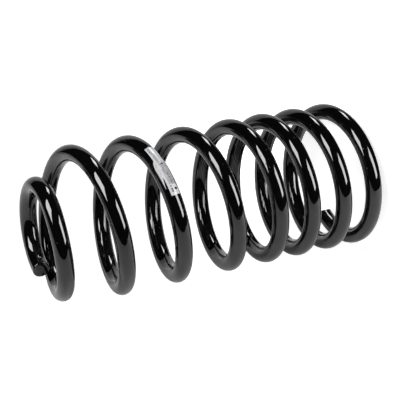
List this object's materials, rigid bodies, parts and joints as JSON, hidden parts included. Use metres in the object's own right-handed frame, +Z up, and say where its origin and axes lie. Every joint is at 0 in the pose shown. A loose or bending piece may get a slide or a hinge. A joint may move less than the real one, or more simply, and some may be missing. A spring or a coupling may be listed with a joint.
{
  "type": "helical compression spring",
  "caption": "Black coated steel coil spring with variable pitch: an open full-size end, a drawn-in pigtail end and a foil label on one turn.",
  "frame": {"origin": "where the coil's axis meets the floor that the wide end stands on", "axes": "+Z up from the floor; the coil's axis leans 9.25 degrees from +Z towards +X, as the spring rests on its lower wire end and the turn opposite; -Y is the side that the picture is taken from"},
  "size_m": [0.1775, 0.1367, 0.3119],
  "materials": {
    "black_coat": "gloss black coat on spring steel",
    "label_foil": "satin silver foil label with faint grey print"
  },
  "bodies": {
    "root": {"coil": "black_coat", "label": "label_foil"}
  },
  "joints": []
}
